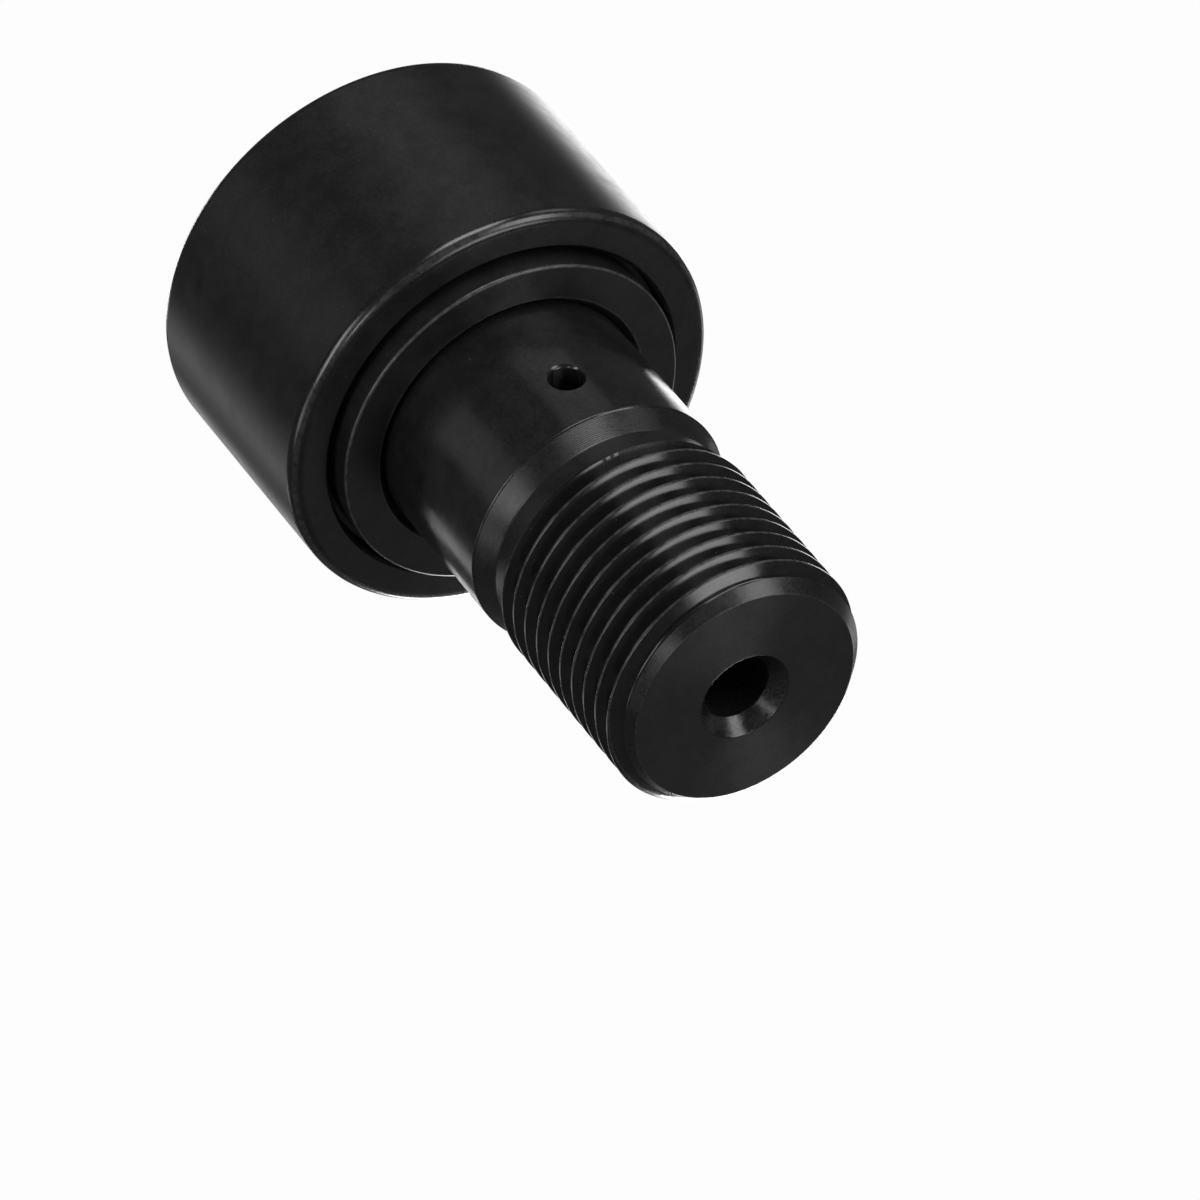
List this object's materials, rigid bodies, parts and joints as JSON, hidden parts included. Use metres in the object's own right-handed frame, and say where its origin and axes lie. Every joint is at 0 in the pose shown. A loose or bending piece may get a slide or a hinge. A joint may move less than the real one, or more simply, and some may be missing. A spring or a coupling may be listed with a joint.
{
  "type": "stud-type cam follower",
  "caption": "Stud-type cam follower: a steel roller on full-complement needles around a headed stud with a pressed end plate, plain shank, oil holes and threaded end.",
  "frame": {"origin": "centre of the head's outer face, on the stud's axis", "axes": "+Z along the stud from the head towards the threaded end; the radial oil hole opens towards -Y; the head's driver slot runs along X"},
  "size_m": [0.0318, 0.0318, 0.053],
  "materials": {
    "stud_steel": "black oxide, satin, turned and ground",
    "plate_steel": "black oxide, dull, stamped and faced",
    "roller_steel": "black oxide, satin, ground",
    "needle_steel": "bright ground bearing steel"
  },
  "bodies": {
    "stud_body": {"stud": "stud_steel", "end_plate": "plate_steel"},
    "roller": {"outer_ring": "roller_steel"},
    "needle_set": {"needle_01": "needle_steel", "needle_02": "needle_steel", "needle_03": "needle_steel", "needle_04": "needle_steel", "needle_05": "needle_steel", "needle_06": "needle_steel", "needle_07": "needle_steel", "needle_08": "needle_steel", "needle_09": "needle_steel", "needle_10": "needle_steel", "needle_11": "needle_steel", "needle_12": "needle_steel", "needle_13": "needle_steel", "needle_14": "needle_steel", "needle_15": "needle_steel", "needle_16": "needle_steel", "needle_17": "needle_steel", "needle_18": "needle_steel", "needle_19": "needle_steel", "needle_20": "needle_steel", "needle_21": "needle_steel", "needle_22": "needle_steel", "needle_23": "needle_steel", "needle_24": "needle_steel", "needle_25": "needle_steel", "needle_26": "needle_steel", "needle_27": "needle_steel", "needle_28": "needle_steel", "needle_29": "needle_steel"}
  },
  "joints": [
    {"name": "roller_spin", "type": "hinge", "parent": "stud_body", "child": "roller", "pos_m": [0, 0, 0.01033], "axis": [0, 0, 1], "continuous": true},
    {"name": "needle_orbit", "type": "hinge", "parent": "stud_body", "child": "needle_set", "pos_m": [0, 0, 0.01033], "axis": [0, 0, 1], "continuous": true}
  ],
  "couplings": [
    {"joint": "needle_orbit", "follows": "roller_spin", "ratio": 0.5535}
  ]
}
